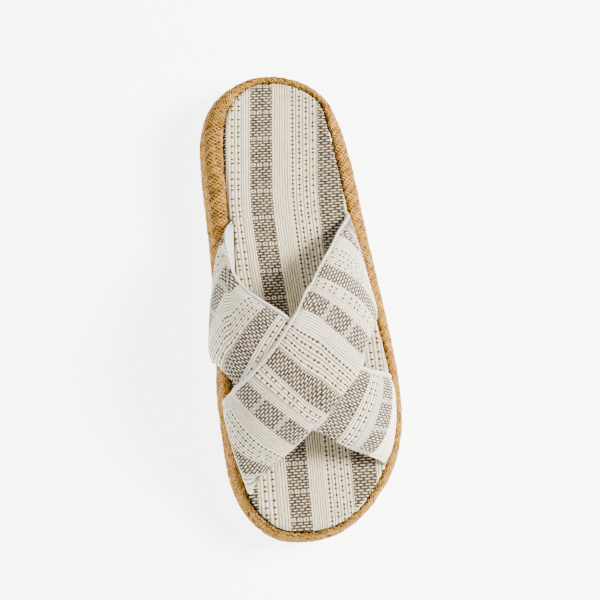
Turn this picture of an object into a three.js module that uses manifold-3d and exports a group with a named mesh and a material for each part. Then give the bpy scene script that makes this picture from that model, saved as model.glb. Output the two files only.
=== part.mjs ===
// House slipper, left foot: a slip-on with two crossed fabric straps on a platform wrapped in
// plaited fibre. Millimetres, +X to the inner (medial) side, +Y to the toe, +Z up.
import * as THREE from 'three';
import Module from 'manifold-3d';
import { mergeVertices } from 'three/addons/utils/BufferGeometryUtils.js';

// Driving sizes
const LENGTH = 262;             // heel to toe over the platform's side
const BALL_WIDTH = 102;         // across the platform at the ball of the foot
const OUTSOLE_THICKNESS = 8;
const OUTSOLE_INSET = 4.2;      // the outsole's side back from the platform's side
const OUTSOLE_EDGE = 1.3;       // rounding of the outsole's lower edge
const OUTSOLE_BREAK = 0.5;      // bevel of the outsole's upper edge
const PLATFORM_HEIGHT = 36.2;   // rim over the floor where it is highest, ahead of the heel
const RIM_WIDTH = 12.2;         // platform's side to footbed, widest on the inner side of the heel
const RIM_ROUNDING = 6.2;       // outer rounding of the rim
const PLATFORM_FOOT = 3.4;      // inward tuck of the wrapping at the outsole
const TRAY_DEPTH = 6;           // rim down to the tray that holds the footbed
const TRAY_LIP = 1.6;           // rounding of the tray's mouth
const FOOTBED_PROUD = 2.6;      // footbed's edge above the rim at the toe
const FOOTBED_ROUNDING = 2.2;
const HEEL_CUP = 2.4;           // dish of the footbed under the heel
const ARCH_RISE = 2.2;          // swell of the footbed under the inner arch
const INSTEP_HEIGHT = 52;       // crown of the straps over the footbed's edge
const BELLY_RISE = 13;          // height over the footbed's edge at which a side is fully swelled
const STRAP_THICKNESS = 3;
const STRAP_TUCK = 4.6;         // strap ends down beside the footbed
const STRAP_FUSE = 0.5;         // depth that the upper strap sinks into the lower one
const STRAP_RAMP = 13;          // length over which the upper strap climbs the lower one
const CLEARANCE = 0.3;          // between pieces that curve against each other

// Shares that shape the roundings and the footbed
const MID_ROUND = 0.3;                          // middle row of a rounding, as a share of its radius
const RIM_TURNS = [0.3, 0.6, 0.85];             // rows of the rim's rounding, as shares of its turn
const HEEL_SPAN = { from: -0.12, to: 0.38 };    // length of the dish under the heel
const ARCH_SPAN = { from: 0.25, to: 0.68 };     // length of the swell under the inner arch
const ARCH_FALL = 4;                            // how late the swell falls off to the footbed's edge

// Mesh fineness
const STEPS_PER_ROW = 3;        // points on the outline for each row of its table
const STRAP_STEPS = 44;         // around the instep
const STRAP_STRIPS = 9;         // across a strap
const EDGE_STEPS = 4;           // around a strap's rounded edge
const FOOTBED_STRIPS = 8;       // across the footbed
const POCKET_STEPS = 12;        // along the room for a strap end
const POCKET_REACH = 1;         // how far that room runs past the footbed's side
const NEARBY = 0.006;           // share of a strap or of the foot over which a slope is taken

// Outline of the platform: shares of LENGTH and BALL_WIDTH from the heel tip and the centre line
const OUTLINE = [
  { along: 0.000, medial: 0.090, lateral: 0.090 },
  { along: 0.018, medial: 0.268, lateral: -0.115 },
  { along: 0.060, medial: 0.396, lateral: -0.246 },
  { along: 0.120, medial: 0.457, lateral: -0.315 },
  { along: 0.200, medial: 0.470, lateral: -0.358 },
  { along: 0.320, medial: 0.462, lateral: -0.396 },
  { along: 0.440, medial: 0.457, lateral: -0.435 },
  { along: 0.560, medial: 0.466, lateral: -0.476 },
  { along: 0.680, medial: 0.484, lateral: -0.506 },
  { along: 0.780, medial: 0.476, lateral: -0.498 },
  { along: 0.860, medial: 0.455, lateral: -0.438 },
  { along: 0.920, medial: 0.405, lateral: -0.335 },
  { along: 0.965, medial: 0.318, lateral: -0.215 },
  { along: 0.990, medial: 0.225, lateral: -0.095 },
  { along: 1.000, medial: 0.070, lateral: 0.070 },
];

// Rim of the platform along the foot: height as a share of PLATFORM_HEIGHT, width on each side as
// a share of RIM_WIDTH, and the footbed's edge above it as a share of FOOTBED_PROUD
const RIM = [
  { along: 0.00, height: 0.955, medial: 0.50, lateral: 0.50, proud: 0.00 },
  { along: 0.06, height: 0.975, medial: 0.86, lateral: 0.50, proud: 0.00 },
  { along: 0.13, height: 0.990, medial: 1.00, lateral: 0.74, proud: 0.05 },
  { along: 0.25, height: 1.000, medial: 0.96, lateral: 0.82, proud: 0.20 },
  { along: 0.45, height: 0.985, medial: 0.76, lateral: 0.70, proud: 0.60 },
  { along: 0.70, height: 0.932, medial: 0.57, lateral: 0.56, proud: 0.90 },
  { along: 0.85, height: 0.865, medial: 0.50, lateral: 0.51, proud: 1.00 },
  { along: 0.95, height: 0.840, medial: 0.40, lateral: 0.42, proud: 1.00 },
  { along: 1.00, height: 0.830, medial: 0.38, lateral: 0.38, proud: 1.00 },
];

// Side of the platform from the outsole up to the start of the rim's rounding:
// inset as a share of PLATFORM_FOOT, height as a share of the wall
const WALL = [
  { inset: 1.00, up: 0.00 },
  { inset: 0.42, up: 0.05 },
  { inset: 0.12, up: 0.16 },
  { inset: 0.00, up: 0.36 },
  { inset: 0.04, up: 0.62 },
  { inset: 0.20, up: 0.84 },
  { inset: 0.40, up: 1.00 },
];

// Instep form that both straps lie on: crown as a share of INSTEP_HEIGHT, and the belly on each
// side as a share of the footbed's half width there
const INSTEP = [
  { along: 0.280, crown: 0.050, medial: 1.02, lateral: 1.00 },
  { along: 0.317, crown: 0.110, medial: 1.18, lateral: 1.00 },
  { along: 0.355, crown: 0.250, medial: 1.28, lateral: 1.00 },
  { along: 0.394, crown: 0.430, medial: 1.31, lateral: 0.99 },
  { along: 0.435, crown: 0.600, medial: 1.33, lateral: 0.99 },
  { along: 0.480, crown: 0.750, medial: 1.35, lateral: 0.98 },
  { along: 0.520, crown: 0.880, medial: 1.36, lateral: 0.98 },
  { along: 0.564, crown: 0.950, medial: 1.36, lateral: 0.98 },
  { along: 0.610, crown: 0.930, medial: 1.34, lateral: 0.98 },
  { along: 0.660, crown: 0.830, medial: 1.26, lateral: 0.99 },
  { along: 0.720, crown: 0.740, medial: 1.18, lateral: 1.00 },
  { along: 0.770, crown: 0.640, medial: 1.14, lateral: 1.00 },
  { along: 0.800, crown: 0.555, medial: 1.12, lateral: 1.00 },
  { along: 0.830, crown: 0.400, medial: 1.09, lateral: 1.00 },
  { along: 0.860, crown: 0.220, medial: 1.05, lateral: 1.00 },
  { along: 0.900, crown: 0.100, medial: 1.00, lateral: 1.00 },
];
const ARCH_POWER = 2.3;         // roundness of the instep's section, 2 is an ellipse

// Straps: share of the way around the instep from the medial edge to the lateral one, and the
// place of the strap's back and front edges as shares of LENGTH
const OVER_STRAP = [
  { around: 0.00, back: 0.722, front: 0.893 },
  { around: 0.10, back: 0.713, front: 0.885 },
  { around: 0.25, back: 0.688, front: 0.864 },
  { around: 0.38, back: 0.632, front: 0.832 },
  { around: 0.45, back: 0.570, front: 0.803 },
  { around: 0.50, back: 0.506, front: 0.767 },
  { around: 0.56, back: 0.458, front: 0.726 },
  { around: 0.64, back: 0.415, front: 0.681 },
  { around: 0.75, back: 0.367, front: 0.606 },
  { around: 0.88, back: 0.340, front: 0.563 },
  { around: 1.00, back: 0.322, front: 0.546 },
];
const UNDER_STRAP = [
  { around: 0.00, back: 0.330, front: 0.612 },
  { around: 0.10, back: 0.346, front: 0.630 },
  { around: 0.18, back: 0.374, front: 0.667 },
  { around: 0.23, back: 0.452, front: 0.690 },
  { around: 0.30, back: 0.502, front: 0.716 },
  { around: 0.40, back: 0.556, front: 0.752 },
  { around: 0.48, back: 0.606, front: 0.786 },
  { around: 0.56, back: 0.645, front: 0.815 },
  { around: 0.65, back: 0.676, front: 0.833 },
  { around: 0.75, back: 0.687, front: 0.844 },
  { around: 0.88, back: 0.687, front: 0.852 },
  { around: 1.00, back: 0.683, front: 0.857 },
];

const wasm = await Module();
wasm.setup();

// Smooth value of a table's column at a place, with no overshoot between its rows
function read(table, key, column, place) {
  const last = table.length - 1;
  const at = Math.min(Math.max(place, table[0][key]), table[last][key]);
  let row = 0;
  while (row < last - 1 && at > table[row + 1][key]) row += 1;
  const slope = (i) => (table[i + 1][column] - table[i][column]) / (table[i + 1][key] - table[i][key]);
  const tangent = (i) => {
    if (i === 0) return slope(0);
    if (i === last) return slope(last - 1);
    const before = slope(i - 1);
    const after = slope(i);
    return before * after > 0 ? (2 * before * after) / (before + after) : 0;
  };
  const width = table[row + 1][key] - table[row][key];
  const t = (at - table[row][key]) / width;
  const start = (1 + 2 * t) * (1 - t) ** 2 * table[row][column];
  const end = t * t * (3 - 2 * t) * table[row + 1][column];
  const lean = t * (1 - t) ** 2 * tangent(row) - t * t * (1 - t) * tangent(row + 1);
  return start + end + width * lean;
}

// Closed outline: first point at the heel tip, up the medial side to the toe tip and back
function outlineLoop() {
  const inner = OUTLINE.map((row) => new THREE.Vector3(row.medial * BALL_WIDTH, row.along * LENGTH, 0));
  const outer = OUTLINE.slice(1, -1).reverse()
    .map((row) => new THREE.Vector3(row.lateral * BALL_WIDTH, row.along * LENGTH, 0));
  const curve = new THREE.CatmullRomCurve3([...inner, ...outer], true, 'centripetal');
  const count = (inner.length + outer.length) * STEPS_PER_ROW;
  return Array.from({ length: count }, (_, i) => curve.getPoint(i / count));
}

const LOOP = outlineLoop();
const HALF_LOOP = LOOP.length / 2;

// Inward direction at each point of the outline
const INWARD = LOOP.map((_, i) => {
  const ahead = LOOP[(i + 1) % LOOP.length];
  const behind = LOOP[(i + LOOP.length - 1) % LOOP.length];
  return new THREE.Vector3(behind.y - ahead.y, ahead.x - behind.x, 0).normalize();
});

// Outline moved in by inset(along, side) and lifted to height(x, y, along)
function ring(inset, height) {
  return LOOP.map((point, i) => {
    const along = point.y / LENGTH;
    const side = i <= HALF_LOOP ? 'medial' : 'lateral';
    const moved = point.clone().addScaledVector(INWARD[i], inset(along, side));
    moved.z = height(moved.x, moved.y, along);
    return moved;
  });
}

const rimHeight = (along) => PLATFORM_HEIGHT * read(RIM, 'along', 'height', along);
const rimWidth = (along, side) => RIM_WIDTH * read(RIM, 'along', side, along);
const proud = (along) => FOOTBED_PROUD * read(RIM, 'along', 'proud', along);
const footbedEdge = (along) => rimHeight(along) + proud(along);
const trayFloor = (along) => rimHeight(along) - TRAY_DEPTH;

// Swell that is one at the middle of a span and runs out smoothly at its ends
function swell(value, { from, to }) {
  const t = (value - from) / (to - from);
  return t > 0 && t < 1 ? Math.sin(Math.PI * t) ** 2 : 0;
}

// Faces between successive rings, with the first and last ring closed by strips across the foot
function loft(rings, topStrips = 1, topHeight = null) {
  const count = LOOP.length;
  const points = rings.flat();
  const faces = [];
  for (let r = 0; r < rings.length - 1; r += 1) {
    for (let i = 0; i < count; i += 1) {
      const j = (i + 1) % count;
      const [a, b] = [r * count + i, r * count + j];
      faces.push([a, b, b + count], [a, b + count, a + count]);
    }
  }
  closeEnd(points, faces, 0, 1, null, false);
  closeEnd(points, faces, (rings.length - 1) * count, topStrips, topHeight, true);
  return solid(points, faces);
}

// Rows of faces across the foot between the two sides of the ring that starts at base
function closeEnd(points, faces, base, strips, height, faceUp) {
  const rowAt = (station) => {
    if (station === 0 || station === HALF_LOOP) return [base + station];
    const lateral = base + LOOP.length - station;
    const medial = base + station;
    const row = [lateral];
    for (let k = 1; k < strips; k += 1) {
      const point = points[lateral].clone().lerp(points[medial], k / strips);
      if (height) point.z = height(point.x, point.y, point.y / LENGTH);
      row.push(points.push(point) - 1);
    }
    row.push(medial);
    return row;
  };
  let below = rowAt(0);
  for (let station = 1; station <= HALF_LOOP; station += 1) {
    const above = rowAt(station);
    for (let k = 0; k < strips; k += 1) {
      const [a, b] = [below[Math.min(k, below.length - 1)], below[Math.min(k + 1, below.length - 1)]];
      const [c, d] = [above[Math.min(k, above.length - 1)], above[Math.min(k + 1, above.length - 1)]];
      if (a !== b) faces.push(faceUp ? [a, b, d] : [a, d, b]);
      if (c !== d) faces.push(faceUp ? [a, d, c] : [a, c, d]);
    }
    below = above;
  }
}

// Closed solid from points and faces
function solid(points, faces) {
  const geometry = new THREE.BufferGeometry();
  const numbers = points.flatMap((p) => [p.x, p.y, p.z]);
  geometry.setAttribute('position', new THREE.Float32BufferAttribute(numbers, 3));
  geometry.setIndex(faces.flat());
  const merged = mergeVertices(geometry);
  const mesh = new wasm.Mesh({
    numProp: 3,
    vertProperties: new Float32Array(merged.attributes.position.array),
    triVerts: new Uint32Array(merged.index.array),
  });
  return new wasm.Manifold(mesh);
}

function part(name, manifold, colour, roughness) {
  const mesh = manifold.getMesh();
  const geometry = new THREE.BufferGeometry();
  geometry.setAttribute('position', new THREE.BufferAttribute(new Float32Array(mesh.vertProperties), 3));
  geometry.setIndex([...mesh.triVerts]);
  geometry.computeVertexNormals();
  const material = new THREE.MeshStandardMaterial({ color: colour, roughness, metalness: 0 });
  const piece = new THREE.Mesh(geometry, material);
  piece.name = name;
  return piece;
}

// Outsole: flat slab set in from the platform all round
function outsole() {
  const level = (z) => () => z;
  const back = (extra) => () => OUTSOLE_INSET + extra;
  return loft([
    ring(back(OUTSOLE_EDGE), level(0)),
    ring(back(OUTSOLE_EDGE * MID_ROUND), level(OUTSOLE_EDGE * MID_ROUND)),
    ring(back(0), level(OUTSOLE_EDGE)),
    ring(back(0), level(OUTSOLE_THICKNESS - OUTSOLE_BREAK)),
    ring(back(OUTSOLE_BREAK), level(OUTSOLE_THICKNESS)),
  ]);
}

// Platform: wrapped side, rounded rim, and the tray that holds the footbed
function midsole() {
  const wallTop = (along) => rimHeight(along) - RIM_ROUNDING;
  const rings = WALL.map((row) => ring(
    () => PLATFORM_FOOT * row.inset,
    (x, y, along) => OUTSOLE_THICKNESS + (wallTop(along) - OUTSOLE_THICKNESS) * row.up,
  ));
  const start = PLATFORM_FOOT * WALL[WALL.length - 1].inset;
  const trayWall = (along, side) => rimWidth(along, side) - CLEARANCE;
  const crest = (along, side) => Math.max(start, trayWall(along, side) - TRAY_LIP);
  for (const turn of RIM_TURNS) {
    const angle = turn * Math.PI / 2;
    rings.push(ring(
      (along, side) => start + (crest(along, side) - start) * (1 - Math.cos(angle)),
      (x, y, along) => wallTop(along) + RIM_ROUNDING * Math.sin(angle),
    ));
  }
  rings.push(ring(crest, (x, y, along) => rimHeight(along)));
  rings.push(ring(
    (along, side) => trayWall(along, side) - TRAY_LIP * MID_ROUND,
    (x, y, along) => rimHeight(along) - TRAY_LIP * MID_ROUND,
  ));
  rings.push(ring(trayWall, (x, y, along) => rimHeight(along) - TRAY_LIP));
  rings.push(ring(trayWall, (x, y, along) => trayFloor(along)));
  return loft(rings);
}

// Top of the footbed: dished under the heel, raised under the inner arch
function footbedTop(x, y, along) {
  const middle = (footbedSide(y, 1) + footbedSide(y, -1)) / 2;
  const half = (footbedSide(y, 1) - footbedSide(y, -1)) / 2;
  const across = THREE.MathUtils.clamp((x - middle) / Math.max(half, 1), -1, 1);
  const dish = HEEL_CUP * swell(along, HEEL_SPAN) * (1 - across * across);
  const arch = ARCH_RISE * swell(along, ARCH_SPAN) * Math.max(across, 0) * (1 - across ** ARCH_FALL);
  return footbedEdge(along) - dish + arch;
}

// Place of the footbed's edge on the medial (+1) or lateral (-1) side at a length y
function footbedSide(y, side) {
  const run = side > 0 ? MEDIAL_EDGE : LATERAL_EDGE;
  let i = 0;
  while (i < run.length - 2 && run[i + 1].y < y) i += 1;
  const t = THREE.MathUtils.clamp((y - run[i].y) / (run[i + 1].y - run[i].y), 0, 1);
  return run[i].x + (run[i + 1].x - run[i].x) * t;
}

const FOOTBED_LOOP = ring(rimWidth, () => 0);
const MEDIAL_EDGE = FOOTBED_LOOP.slice(0, HALF_LOOP + 1);
const LATERAL_EDGE = [FOOTBED_LOOP[0], ...FOOTBED_LOOP.slice(HALF_LOOP).reverse()];

// Footbed: padded sheet in the tray, cut back where a strap end passes beside it
function insole() {
  const r = FOOTBED_ROUNDING;
  const rings = [
    ring((along, side) => rimWidth(along, side) + CLEARANCE, (x, y, along) => trayFloor(along) + CLEARANCE),
    ring(rimWidth, (x, y, along) => trayFloor(along) + CLEARANCE * 2),
    ring(rimWidth, (x, y, along) => footbedEdge(along) - r),
    ring(
      (along, side) => rimWidth(along, side) + r * MID_ROUND,
      (x, y, along) => footbedEdge(along) - r * MID_ROUND,
    ),
    ring((along, side) => rimWidth(along, side) + r, footbedTop),
  ];
  const pad = loft(rings, FOOTBED_STRIPS, footbedTop);
  return [
    [UNDER_STRAP, 1], [UNDER_STRAP, -1], [OVER_STRAP, 1], [OVER_STRAP, -1],
  ].reduce((rest, [strap, side]) => rest.subtract(pocket(strap, side)), pad);
}

// Room beside the footbed for one strap end
function pocket(strap, side) {
  const end = side > 0 ? strap[0] : strap[strap.length - 1];
  const from = end.back * LENGTH - STRAP_THICKNESS / 2 - CLEARANCE;
  const to = end.front * LENGTH + STRAP_THICKNESS / 2 + CLEARANCE;
  const depth = STRAP_THICKNESS + CLEARANCE;
  const top = PLATFORM_HEIGHT + INSTEP_HEIGHT;
  const points = [];
  const faces = [];
  const corners = [[-depth, 0], [POCKET_REACH, 0], [POCKET_REACH, top], [-depth, top]];
  const span = LENGTH * NEARBY;
  for (let i = 0; i <= POCKET_STEPS; i += 1) {
    const y = from + (to - from) * i / POCKET_STEPS;
    const edge = new THREE.Vector3(footbedSide(y, side), y, 0);
    const lean = (footbedSide(y + span, side) - footbedSide(y - span, side)) / (2 * span);
    const out = new THREE.Vector3(1, -lean, 0).normalize().multiplyScalar(side);
    for (const [offset, z] of corners) {
      points.push(edge.clone().addScaledVector(out, offset).setZ(z));
    }
  }
  bandFaces(faces, corners.length, POCKET_STEPS, side > 0);
  return solid(points, faces);
}

// Faces of a closed tube of sections with count points each, with both ends closed
function bandFaces(faces, count, steps, outward) {
  const push = (a, b, c) => faces.push(outward ? [a, b, c] : [a, c, b]);
  for (let s = 0; s < steps; s += 1) {
    for (let i = 0; i < count; i += 1) {
      const j = (i + 1) % count;
      const [a, b] = [s * count + i, s * count + j];
      push(a, a + count, b + count);
      push(a, b + count, b);
    }
  }
  const last = steps * count;
  for (let i = 0; i < count / 2 - 1; i += 1) {
    const [a, b, c, d] = [i, i + 1, count - 2 - i, count - 1 - i];
    push(a, b, c);
    push(a, c, d);
    push(last + a, last + c, last + b);
    push(last + a, last + d, last + c);
  }
}

// Point of the instep form: around is 0 at the medial edge and 1 at the lateral edge
function instep(around, y) {
  const along = y / LENGTH;
  const angle = Math.PI * around;
  const spread = Math.sign(Math.cos(angle)) * Math.abs(Math.cos(angle)) ** (2 / ARCH_POWER);
  const rise = Math.abs(Math.sin(angle)) ** (2 / ARCH_POWER);
  const medial = footbedSide(y, 1);
  const lateral = footbedSide(y, -1);
  const half = (medial - lateral) / 2;
  const belly = read(INSTEP, 'along', spread > 0 ? 'medial' : 'lateral', along);
  const height = INSTEP_HEIGHT * read(INSTEP, 'along', 'crown', along) * rise;
  const pinch = THREE.MathUtils.clamp(1 - height / BELLY_RISE, 0, 1) ** 2;
  return new THREE.Vector3(
    (medial + lateral) / 2 + half * (belly * spread - Math.sign(spread) * (belly - 1) * pinch),
    y,
    footbedEdge(along) + height,
  );
}

// Lift of the over strap where the under strap lies beneath it
function climb(around, y) {
  const back = read(UNDER_STRAP, 'around', 'back', around) * LENGTH;
  const front = read(UNDER_STRAP, 'around', 'front', around) * LENGTH;
  const inside = Math.min(y - back, front - y);
  const share = THREE.MathUtils.smoothstep(inside, -STRAP_RAMP, 0);
  return (STRAP_THICKNESS - STRAP_FUSE) * share;
}

// Point of a strap's outer face: around the instep, and across from back (0) to front (1)
function strapFace(strap, lifted, around, across) {
  const back = read(strap, 'around', 'back', around) * LENGTH;
  const front = read(strap, 'around', 'front', around) * LENGTH;
  const y = back + (front - back) * across;
  const point = instep(around, y);
  if (lifted) {
    const ahead = instep(Math.min(around + NEARBY, 1), y).sub(instep(Math.max(around - NEARBY, 0), y));
    const out = new THREE.Vector3(ahead.z, 0, -ahead.x).normalize();
    point.addScaledVector(out, climb(around, y));
  }
  return point;
}

// Closed section of a strap at one station; drop is how far below the footbed's edge it lies
function strapSection(strap, lifted, around, drop) {
  const radius = STRAP_THICKNESS / 2;
  const face = (turned, across) => strapFace(strap, lifted, turned, THREE.MathUtils.clamp(across, 0, 1));
  const near = THREE.MathUtils.clamp(around, NEARBY, 1 - NEARBY);
  const section = [];
  const place = (across, turn, side) => {
    const forward = face(around, across + NEARBY).sub(face(around, across - NEARBY)).normalize();
    const onward = drop > 0
      ? new THREE.Vector3(0, 0, around < 0.5 ? 1 : -1)
      : face(near + NEARBY, across).sub(face(near - NEARBY, across));
    const out = new THREE.Vector3().crossVectors(forward, onward).normalize();
    const point = face(around, across);
    point.z -= drop;
    point.addScaledVector(out, radius * (Math.sin(turn) - 1));
    point.addScaledVector(forward, radius * Math.cos(turn) * side);
    section.push(point);
  };
  for (let i = 0; i <= STRAP_STRIPS; i += 1) place(i / STRAP_STRIPS, Math.PI / 2, 0);
  for (let i = 1; i < EDGE_STEPS; i += 1) place(1, Math.PI / 2 - Math.PI * i / EDGE_STEPS, 1);
  for (let i = STRAP_STRIPS; i >= 0; i -= 1) place(i / STRAP_STRIPS, -Math.PI / 2, 0);
  for (let i = 1; i < EDGE_STEPS; i += 1) place(0, Math.PI * i / EDGE_STEPS - Math.PI / 2, -1);
  return section;
}

// Whole band of a strap, with rounded edges and its two ends tucked down beside the footbed
function band(strap, lifted) {
  const stations = [[0, STRAP_TUCK], [0, STRAP_TUCK / 2]];
  for (let i = 0; i <= STRAP_STEPS; i += 1) stations.push([i / STRAP_STEPS, 0]);
  stations.push([1, STRAP_TUCK / 2], [1, STRAP_TUCK]);
  const sections = stations.map(([around, drop]) => strapSection(strap, lifted, around, drop));
  const faces = [];
  bandFaces(faces, sections[0].length, sections.length - 1, false);
  return solid(sections.flat(), faces);
}

const slipper = new THREE.Group();
slipper.add(
  part('outsole', outsole(), 0xeeeae0, 0.55),
  part('midsole', midsole(), 0xcfa468, 0.9),
  part('insole', insole(), 0xe6e1d6, 0.95),
  part('upper', band(UNDER_STRAP, false).add(band(OVER_STRAP, true)), 0xe9e5dc, 0.95),
);

// The origin lies under the middle of the whole slipper, on the floor
const middle = new THREE.Box3().setFromObject(slipper).getCenter(new THREE.Vector3());
slipper.position.set(-middle.x, -middle.y, 0);

export default slipper;
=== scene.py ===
import math
import bpy
import numpy as np
from mathutils import Matrix, Vector


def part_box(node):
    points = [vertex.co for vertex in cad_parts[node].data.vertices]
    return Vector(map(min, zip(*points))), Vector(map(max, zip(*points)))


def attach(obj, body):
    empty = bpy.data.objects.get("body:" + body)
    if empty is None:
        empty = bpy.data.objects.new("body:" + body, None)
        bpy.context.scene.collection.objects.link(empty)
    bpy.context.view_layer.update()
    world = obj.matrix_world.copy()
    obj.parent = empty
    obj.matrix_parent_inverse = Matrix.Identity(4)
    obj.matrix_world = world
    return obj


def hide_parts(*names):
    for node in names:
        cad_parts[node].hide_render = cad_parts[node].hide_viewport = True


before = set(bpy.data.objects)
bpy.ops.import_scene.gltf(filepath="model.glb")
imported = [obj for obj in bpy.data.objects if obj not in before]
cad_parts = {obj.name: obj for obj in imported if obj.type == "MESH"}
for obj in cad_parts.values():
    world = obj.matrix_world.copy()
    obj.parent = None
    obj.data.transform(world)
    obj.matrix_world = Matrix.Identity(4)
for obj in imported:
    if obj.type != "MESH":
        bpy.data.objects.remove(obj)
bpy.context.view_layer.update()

MM = 0.001

# Sizes of the slipper in millimetres, as in the part's source
LENGTH = 262
BALL_WIDTH = 102
OUTSOLE_THICKNESS = 8
OUTSOLE_INSET = 4.2
OUTSOLE_EDGE = 1.6
PLATFORM_HEIGHT = 36.2
RIM_WIDTH = 12.2
RIM_ROUNDING = 6.2
PLATFORM_FOOT = 3.4
TRAY_LIP = 1.6
FOOTBED_PROUD = 2.6
FOOTBED_ROUNDING = 2.2
HEEL_CUP = 2.4
ARCH_RISE = 2.2
INSTEP_HEIGHT = 52
BELLY_RISE = 13
STRAP_THICKNESS = 3
STRAP_TUCK = 4.6
STRAP_FUSE = 0.5
STRAP_RAMP = 13
ARCH_POWER = 2.3
FIT = 0.3
# Start and end of the heel's dish and of the arch, as shares of the length
DISH_RUN = (-0.12, 0.38)
ARCH_RUN = (0.25, 0.68)
# Steps of the outline's curve between two rows of its table
OUTLINE_STEPS = 40

# along, medial, lateral
OUTLINE = np.array([
    (0.000, 0.090, 0.090), (0.018, 0.268, -0.115), (0.060, 0.396, -0.246), (0.120, 0.457, -0.315),
    (0.200, 0.470, -0.358), (0.320, 0.462, -0.396), (0.440, 0.457, -0.435), (0.560, 0.466, -0.476),
    (0.680, 0.484, -0.506), (0.780, 0.476, -0.498), (0.860, 0.455, -0.438), (0.920, 0.405, -0.335),
    (0.965, 0.318, -0.215), (0.990, 0.225, -0.095), (1.000, 0.070, 0.070)])
# along, height, medial width, lateral width, proud
RIM = np.array([
    (0.00, 0.955, 0.50, 0.50, 0.00), (0.06, 0.975, 0.86, 0.50, 0.00), (0.13, 0.990, 1.00, 0.74, 0.05),
    (0.25, 1.000, 0.96, 0.82, 0.20), (0.45, 0.985, 0.76, 0.70, 0.60), (0.70, 0.932, 0.57, 0.56, 0.90),
    (0.85, 0.865, 0.50, 0.51, 1.00), (0.95, 0.840, 0.40, 0.42, 1.00), (1.00, 0.830, 0.38, 0.38, 1.00)])
# inset, up
WALL = np.array([(1.00, 0.00), (0.42, 0.05), (0.12, 0.16), (0.00, 0.36), (0.04, 0.62), (0.20, 0.84),
                 (0.40, 1.00)])
# along, crown, medial, lateral
INSTEP = np.array([
    (0.280, 0.050, 1.02, 1.00), (0.317, 0.110, 1.18, 1.00), (0.355, 0.250, 1.28, 1.00),
    (0.394, 0.430, 1.31, 0.99), (0.435, 0.600, 1.33, 0.99), (0.480, 0.750, 1.35, 0.98),
    (0.520, 0.880, 1.36, 0.98), (0.564, 0.950, 1.36, 0.98), (0.610, 0.930, 1.34, 0.98),
    (0.660, 0.830, 1.26, 0.99), (0.720, 0.740, 1.18, 1.00), (0.770, 0.640, 1.14, 1.00),
    (0.800, 0.555, 1.12, 1.00), (0.830, 0.400, 1.09, 1.00), (0.860, 0.220, 1.05, 1.00),
    (0.900, 0.100, 1.00, 1.00)])
# around, back, front
OVER_STRAP = np.array([
    (0.00, 0.722, 0.893), (0.10, 0.713, 0.885), (0.25, 0.688, 0.864), (0.38, 0.632, 0.832),
    (0.45, 0.570, 0.803), (0.50, 0.506, 0.767), (0.56, 0.458, 0.726), (0.64, 0.415, 0.681),
    (0.75, 0.367, 0.606), (0.88, 0.340, 0.563), (1.00, 0.322, 0.546)])
UNDER_STRAP = np.array([
    (0.00, 0.330, 0.612), (0.10, 0.346, 0.630), (0.18, 0.374, 0.667), (0.23, 0.452, 0.690),
    (0.30, 0.502, 0.716), (0.40, 0.556, 0.752), (0.48, 0.606, 0.786), (0.56, 0.645, 0.815),
    (0.65, 0.676, 0.833), (0.75, 0.687, 0.844), (0.88, 0.687, 0.852), (1.00, 0.683, 0.857)])
# Columns of the tables: rim and instep, then straps
HEIGHT, MEDIAL, LATERAL, PROUD = 1, 2, 3, 4
BACK, FRONT = 1, 2


def read(table, column, place, key=0):
    """Smooth value of a table's column at each place, with no overshoot between its rows."""
    x, y = table[:, key], table[:, column]
    step = np.diff(x)
    slope = np.diff(y) / step
    product, total = slope[:-1] * slope[1:], slope[:-1] + slope[1:]
    inner = np.where(product > 0, 2 * product / np.where(total == 0, 1, total), 0)
    tangent = np.concatenate([slope[:1], inner, slope[-1:]])
    at = np.clip(place, x[0], x[-1])
    i = np.clip(np.searchsorted(x, at, side="right") - 1, 0, len(x) - 2)
    t = (at - x[i]) / step[i]
    ends = (1 + 2 * t) * (1 - t) ** 2 * y[i] + t * t * (3 - 2 * t) * y[i + 1]
    return ends + step[i] * (t * (1 - t) ** 2 * tangent[i] - t * t * (1 - t) * tangent[i + 1])


def catmull(points, steps, closed):
    """Centripetal curve through points (rows), with that many steps a span."""
    n = len(points)
    spans = n if closed else n - 1
    pick = (lambda i: points[i % n]) if closed else (lambda i: points[min(max(i, 0), n - 1)])
    out = []
    for i in range(spans):
        p0, p1, p2, p3 = (pick(i + k) for k in (-1, 0, 1, 2))
        gaps = [max(float(np.mean(np.linalg.norm(b - a, axis=-1))) ** 0.5, 1e-4)
                for a, b in ((p0, p1), (p1, p2), (p2, p3))]
        a, b, c = gaps
        first = ((p1 - p0) / a - (p2 - p0) / (a + b) + (p2 - p1) / b) * b if a > 1e-3 else p2 - p1
        last = ((p2 - p1) / b - (p3 - p1) / (b + c) + (p3 - p2) / c) * b if c > 1e-3 else p2 - p1
        for k in range(steps):
            w = k / steps
            out.append(p1 + first * w + (3 * (p2 - p1) - 2 * first - last) * w * w
                       + (2 * (p1 - p2) + first + last) * w ** 3)
    if not closed:
        out.append(points[-1])
    return np.array(out)


def unit(v):
    return v / np.maximum(np.linalg.norm(v, axis=-1, keepdims=True), 1e-12)


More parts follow.
